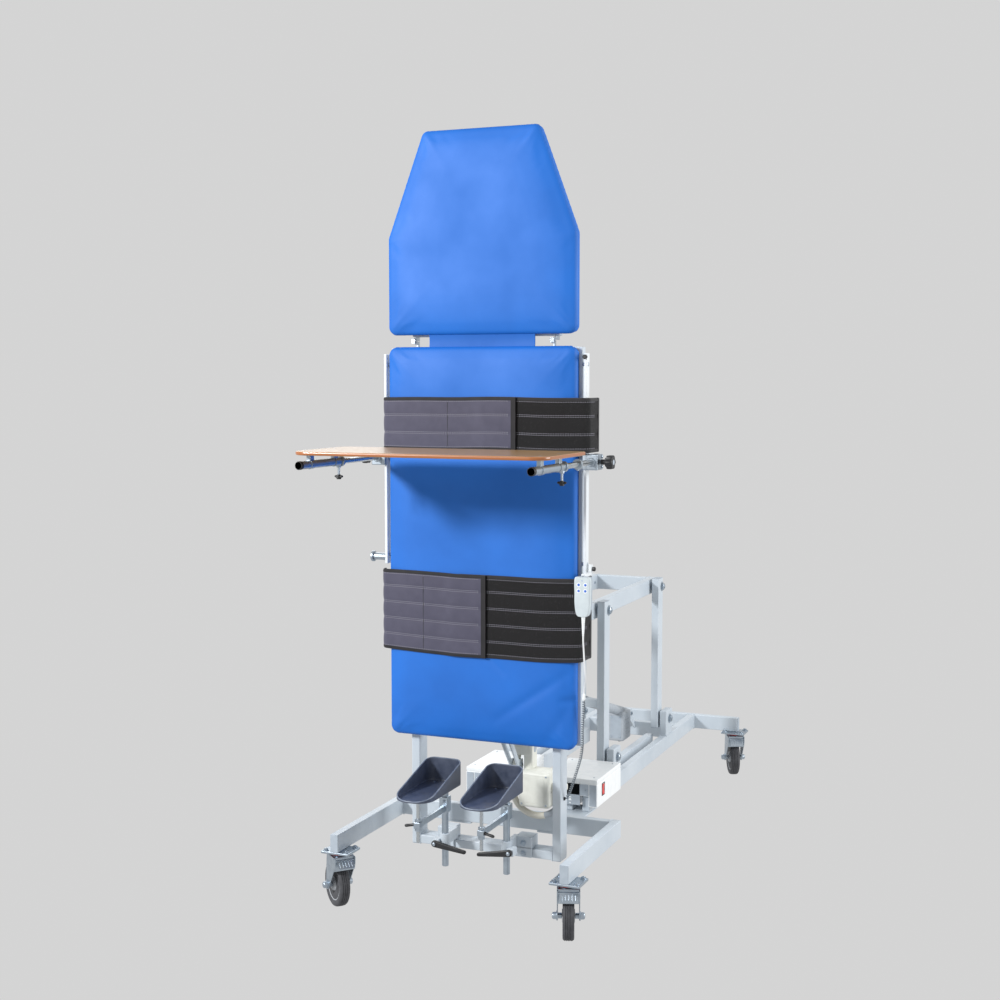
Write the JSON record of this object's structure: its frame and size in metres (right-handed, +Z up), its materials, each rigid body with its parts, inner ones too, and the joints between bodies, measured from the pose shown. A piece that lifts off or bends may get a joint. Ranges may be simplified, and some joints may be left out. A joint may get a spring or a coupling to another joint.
{
  "type": "tilt table",
  "caption": "Powered tilt table on castors: padded body and head sections stand upright on a parallel lift, with belts, wooden tray, foot plates and wired handset.",
  "frame": {"origin": "on the floor, under the middle of the bounding box", "axes": "+Z up, +X to the right as seen from the padded front, +Y from the padded front to the rear castors"},
  "size_m": [0.9246, 2.4636, 2.514],
  "materials": {
    "white_steel": "satin white powder coat",
    "white_cover": "smooth white moulding",
    "red_switch": "glossy red rocker",
    "zinc": "bright zinc plate",
    "grey_tyre": "matt grey rubber",
    "actuator_grey": "matt grey housing",
    "cream": "matt cream housing",
    "blue_vinyl": "smooth blue vinyl, slight sheen",
    "rail_enamel": "glossy white enamel",
    "belt_cloth": "black and dark grey webbing and fleece",
    "black_plastic": "matt black moulding",
    "navy_plastic": "dark navy moulding",
    "beech": "clear lacquered beech plywood",
    "handset_white": "smooth white moulding",
    "button_blue": "blue keys",
    "cord_white": "smooth white cord sheath",
    "hose_cream": "cream corrugated sleeve"
  },
  "bodies": {
    "base": {"base_frame": "white_steel", "power_box": "white_cover", "battery_box": "white_cover", "front_lower_pin_left": "zinc", "front_lower_pin_right": "zinc", "rear_lower_pin_left": "zinc", "rear_lower_pin_right": "zinc"},
    "power_rocker": {"power_switch": "red_switch"},
    "front_links": {"front_links": "white_steel"},
    "rear_links": {"rear_link_left": "white_steel", "rear_link_right": "white_steel"},
    "upper_frame": {"upper_frame": "white_steel"},
    "lift_motor": {"lift_motor": "actuator_grey"},
    "lift_rod": {"lift_rod": "zinc"},
    "table": {"table_frame": "white_steel", "tilt_shaft": "zinc", "body_cushion": "blue_vinyl", "side_rail_left": "rail_enamel", "side_rail_right": "rail_enamel", "chest_belt": "belt_cloth", "hip_belt": "belt_cloth", "foot_bracket_left": "white_steel", "foot_bracket_right": "white_steel", "handset": "handset_white", "handset_lead": "cord_white", "handset_curl": "cord_white"},
    "tilt_motor": {"tilt_motor": "cream", "actuator_hose": "hose_cream"},
    "tilt_rod": {"tilt_rod": "zinc"},
    "head_section": {"head_frame": "white_steel", "head_cushion": "blue_vinyl"},
    "tray_carriage": {"tray_clamp_left": "zinc", "tray_clamp_right": "zinc"},
    "tray": {"tray_tube_left": "zinc", "tray_tube_right": "zinc", "tray_board": "beech"},
    "tray_knob_left": {"tray_knob_left": "black_plastic"},
    "tray_knob_right": {"tray_knob_right": "black_plastic"},
    "foot_post_left": {"foot_post_left": "zinc"},
    "foot_plate_left": {"foot_plate_left": "navy_plastic"},
    "foot_lever_left": {"foot_lever_left": "black_plastic"},
    "foot_post_right": {"foot_post_right": "zinc"},
    "foot_plate_right": {"foot_plate_right": "navy_plastic"},
    "foot_lever_right": {"foot_lever_right": "black_plastic"},
    "handset_button_1": {"handset_button_1": "button_blue"},
    "handset_button_2": {"handset_button_2": "button_blue"},
    "handset_button_3": {"handset_button_3": "button_blue"},
    "handset_button_4": {"handset_button_4": "button_blue"},
    "castor_fork_front_right": {"castor_fork_front_right": "zinc"},
    "castor_wheel_front_right": {"castor_wheel_front_right": "grey_tyre"},
    "castor_brake_front_right": {"castor_brake_front_right": "zinc"},
    "castor_fork_front_left": {"castor_fork_front_left": "zinc"},
    "castor_wheel_front_left": {"castor_wheel_front_left": "grey_tyre"},
    "castor_brake_front_left": {"castor_brake_front_left": "zinc"},
    "castor_fork_rear_right": {"castor_fork_rear_right": "zinc"},
    "castor_wheel_rear_right": {"castor_wheel_rear_right": "grey_tyre"},
    "castor_brake_rear_right": {"castor_brake_rear_right": "zinc"},
    "castor_fork_rear_left": {"castor_fork_rear_left": "zinc"},
    "castor_wheel_rear_left": {"castor_wheel_rear_left": "grey_tyre"},
    "castor_brake_rear_left": {"castor_brake_rear_left": "zinc"}
  },
  "joints": [
    {"name": "lift", "type": "hinge", "parent": "base", "child": "front_links", "pos_m": [0.01926, 0.04519, 0.322], "axis": [1, 0, 0], "range_deg": [0, 35]},
    {"name": "upper_frame_level", "type": "hinge", "parent": "front_links", "child": "upper_frame", "pos_m": [0.01926, 0.04519, 0.866], "axis": [1, 0, 0], "range_deg": [-35, 0]},
    {"name": "rear_links_swing", "type": "hinge", "parent": "base", "child": "rear_links", "pos_m": [0.01926, 0.72519, 0.322], "axis": [1, 0, 0], "range_deg": [0, 35]},
    {"name": "lift_motor_pivot", "type": "hinge", "parent": "base", "child": "lift_motor", "pos_m": [0.01926, 0.84019, 0.3], "axis": [1, 0, 0], "range_deg": [0, 2.05]},
    {"name": "lift_rod_slide", "type": "slide", "parent": "lift_motor", "child": "lift_rod", "axis": [0, -0.958, 0.2868], "range_m": [0, 0.1216]},
    {"name": "tilt", "type": "hinge", "parent": "upper_frame", "child": "table", "pos_m": [0.01926, -0.56981, 0.866], "axis": [1, 0, 0], "range_deg": [-90, 0]},
    {"name": "tilt_motor_pivot", "type": "hinge", "parent": "table", "child": "tilt_motor", "pos_m": [0.08426, -0.56981, 0.43], "axis": [1, 0, 0], "range_deg": [0, 20.3]},
    {"name": "tilt_rod_slide", "type": "slide", "parent": "tilt_motor", "child": "tilt_rod", "axis": [0, 0.507, 0.8619], "range_m": [0, 0.2716]},
    {"name": "head_tilt", "type": "hinge", "parent": "table", "child": "head_section", "pos_m": [0.01926, -0.70781, 1.8365], "axis": [1, 0, 0], "range_deg": [-5, 35]},
    {"name": "tray_height", "type": "slide", "parent": "table", "child": "tray_carriage", "axis": [0, 0, 1], "range_m": [-0.25, 0]},
    {"name": "tray_reach", "type": "slide", "parent": "tray_carriage", "child": "tray", "axis": [0, 1, 0], "range_m": [-0.12, 0.04]},
    {"name": "tray_knob_turn_left", "type": "hinge", "parent": "tray_carriage", "child": "tray_knob_left", "pos_m": [-0.39474, -0.69281, 1.455], "axis": [1, 0, 0], "range_deg": [-180, 180]},
    {"name": "foot_height_left", "type": "slide", "parent": "table", "child": "foot_post_left", "axis": [0, 0, 1], "range_m": [-0.05, 0.04]},
    {"name": "foot_plate_tilt_left", "type": "hinge", "parent": "foot_post_left", "child": "foot_plate_left", "pos_m": [-0.08974, -0.76581, 0.386], "axis": [1, 0, 0], "range_deg": [-15, 0]},
    {"name": "foot_lever_turn_left", "type": "hinge", "parent": "table", "child": "foot_lever_left", "pos_m": [-0.11174, -0.79411, 0.199], "axis": [0, -1, 0], "range_deg": [0, 45]},
    {"name": "tray_knob_turn_right", "type": "hinge", "parent": "tray_carriage", "child": "tray_knob_right", "pos_m": [0.43326, -0.69281, 1.455], "axis": [1, 0, 0], "range_deg": [-180, 180]},
    {"name": "foot_height_right", "type": "slide", "parent": "table", "child": "foot_post_right", "axis": [0, 0, 1], "range_m": [-0.05, 0.04]},
    {"name": "foot_plate_tilt_right", "type": "hinge", "parent": "foot_post_right", "child": "foot_plate_right", "pos_m": [0.12826, -0.76581, 0.386], "axis": [1, 0, 0], "range_deg": [-15, 0]},
    {"name": "foot_lever_turn_right", "type": "hinge", "parent": "table", "child": "foot_lever_right", "pos_m": [0.15026, -0.79411, 0.199], "axis": [0, 1, 0], "range_deg": [0, 45]},
    {"name": "button_1", "type": "slide", "parent": "table", "child": "handset_button_1", "axis": [0, 1, 0], "range_m": [0, 0.001], "stiffness_N_per_m": 400},
    {"name": "button_2", "type": "slide", "parent": "table", "child": "handset_button_2", "axis": [0, 1, 0], "range_m": [0, 0.001], "stiffness_N_per_m": 400},
    {"name": "button_3", "type": "slide", "parent": "table", "child": "handset_button_3", "axis": [0, 1, 0], "range_m": [0, 0.001], "stiffness_N_per_m": 400},
    {"name": "button_4", "type": "slide", "parent": "table", "child": "handset_button_4", "axis": [0, 1, 0], "range_m": [0, 0.001], "stiffness_N_per_m": 400},
    {"name": "power_rocker_tip", "type": "hinge", "parent": "base", "child": "power_rocker", "pos_m": [0.26726, -0.21481, 0.272], "axis": [0, 1, 0], "range_deg": [-8, 8]},
    {"name": "castor_swivel_front_right", "type": "hinge", "parent": "base", "child": "castor_fork_front_right", "pos_m": [0.41226, -0.95981, 0.15], "axis": [0, 0, 1], "continuous": true},
    {"name": "castor_roll_front_right", "type": "hinge", "parent": "castor_fork_front_right", "child": "castor_wheel_front_right", "pos_m": [0.402, -0.93162, 0.075], "axis": [0.9397, 0.342, 0], "continuous": true},
    {"name": "castor_brake_tip_front_right", "type": "hinge", "parent": "castor_fork_front_right", "child": "castor_brake_front_right", "pos_m": [0.4244, -0.99317, 0.168], "axis": [0.9397, 0.342, 0], "range_deg": [0, 15]},
    {"name": "castor_swivel_front_left", "type": "hinge", "parent": "base", "child": "castor_fork_front_left", "pos_m": [-0.37374, -0.95981, 0.15], "axis": [0, 0, 1], "continuous": true},
    {"name": "castor_roll_front_left", "type": "hinge", "parent": "castor_fork_front_left", "child": "castor_wheel_front_left", "pos_m": [-0.39655, -0.94033, 0.075], "axis": [0.6494, 0.7604, 0], "continuous": true},
    {"name": "castor_brake_tip_front_left", "type": "hinge", "parent": "castor_fork_front_left", "child": "castor_brake_front_left", "pos_m": [-0.34675, -0.98287, 0.168], "axis": [0.6494, 0.7604, 0], "range_deg": [0, 15]},
    {"name": "castor_swivel_rear_right", "type": "hinge", "parent": "base", "child": "castor_fork_rear_right", "pos_m": [0.41226, 1.12519, 0.15], "axis": [0, 0, 1], "continuous": true},
    {"name": "castor_roll_rear_right", "type": "hinge", "parent": "castor_fork_rear_right", "child": "castor_wheel_rear_right", "pos_m": [0.39982, 1.15248, 0.075], "axis": [0.91, 0.4147, 0], "continuous": true},
    {"name": "castor_brake_tip_rear_right", "type": "hinge", "parent": "castor_fork_rear_right", "child": "castor_brake_rear_right", "pos_m": [0.42698, 1.09288, 0.168], "axis": [0.91, 0.4147, 0], "range_deg": [0, 15]},
    {"name": "castor_swivel_rear_left", "type": "hinge", "parent": "base", "child": "castor_fork_rear_left", "pos_m": [-0.37374, 1.12519, 0.15], "axis": [0, 0, 1], "continuous": true},
    {"name": "castor_roll_rear_left", "type": "hinge", "parent": "castor_fork_rear_left", "child": "castor_wheel_rear_left", "pos_m": [-0.37895, 1.15473, 0.075], "axis": [0.9848, 0.1736, 0], "continuous": true},
    {"name": "castor_brake_tip_rear_left", "type": "hinge", "parent": "castor_fork_rear_left", "child": "castor_brake_rear_left", "pos_m": [-0.36758, 1.09022, 0.168], "axis": [0.9848, 0.1736, 0], "range_deg": [0, 15]}
  ],
  "couplings": [
    {"joint": "upper_frame_level", "follows": "lift", "ratio": -1},
    {"joint": "rear_links_swing", "follows": "lift", "ratio": 1},
    {"joint": "lift_motor_pivot", "follows": "lift", "ratio": 0.0581},
    {"joint": "lift_rod_slide", "follows": "lift", "m_per_rad": 0.1986},
    {"joint": "tilt_motor_pivot", "follows": "tilt", "ratio": -0.2249},
    {"joint": "tilt_rod_slide", "follows": "tilt", "m_per_rad": -0.1728}
  ]
}
